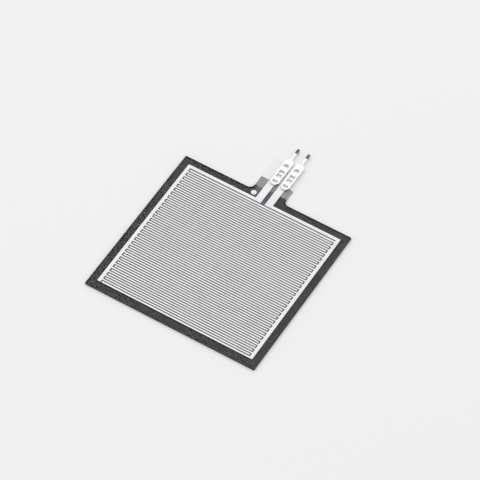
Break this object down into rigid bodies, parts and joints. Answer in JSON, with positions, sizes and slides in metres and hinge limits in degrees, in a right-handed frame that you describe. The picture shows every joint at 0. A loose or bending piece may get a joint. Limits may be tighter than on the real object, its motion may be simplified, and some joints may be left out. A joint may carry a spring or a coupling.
{
  "type": "force sensing resistor",
  "caption": "Thin square force sensing resistor: interdigitated silver combs under clear film over black force sensing ink, with crimped metal pins on a short tail.",
  "frame": {"origin": "middle of the square sheet on its flat rear face", "axes": "+Y from the middle of the square out along the tail to the pins, +Z out of the face that is pressed, +X to the right"},
  "size_m": [0.04, 0.0544, 0.0006],
  "materials": {
    "rear_film": "milky grey polyester film, satin",
    "carbon_ink": "matt black printed ink",
    "adhesive": "clear pressure-sensitive adhesive",
    "silver_ink": "screen-printed silver, satin",
    "clear_film": "clear polyester film, gloss",
    "tinned_metal": "bright tin plate"
  },
  "bodies": {
    "root": {"rear_film": "rear_film", "carbon_layer": "carbon_ink", "spacer_adhesive": "adhesive", "silver_comb_left": "silver_ink", "silver_comb_right": "silver_ink", "silver_dot": "silver_ink", "top_film": "clear_film", "terminal_left": "tinned_metal", "terminal_right": "tinned_metal"}
  },
  "joints": []
}
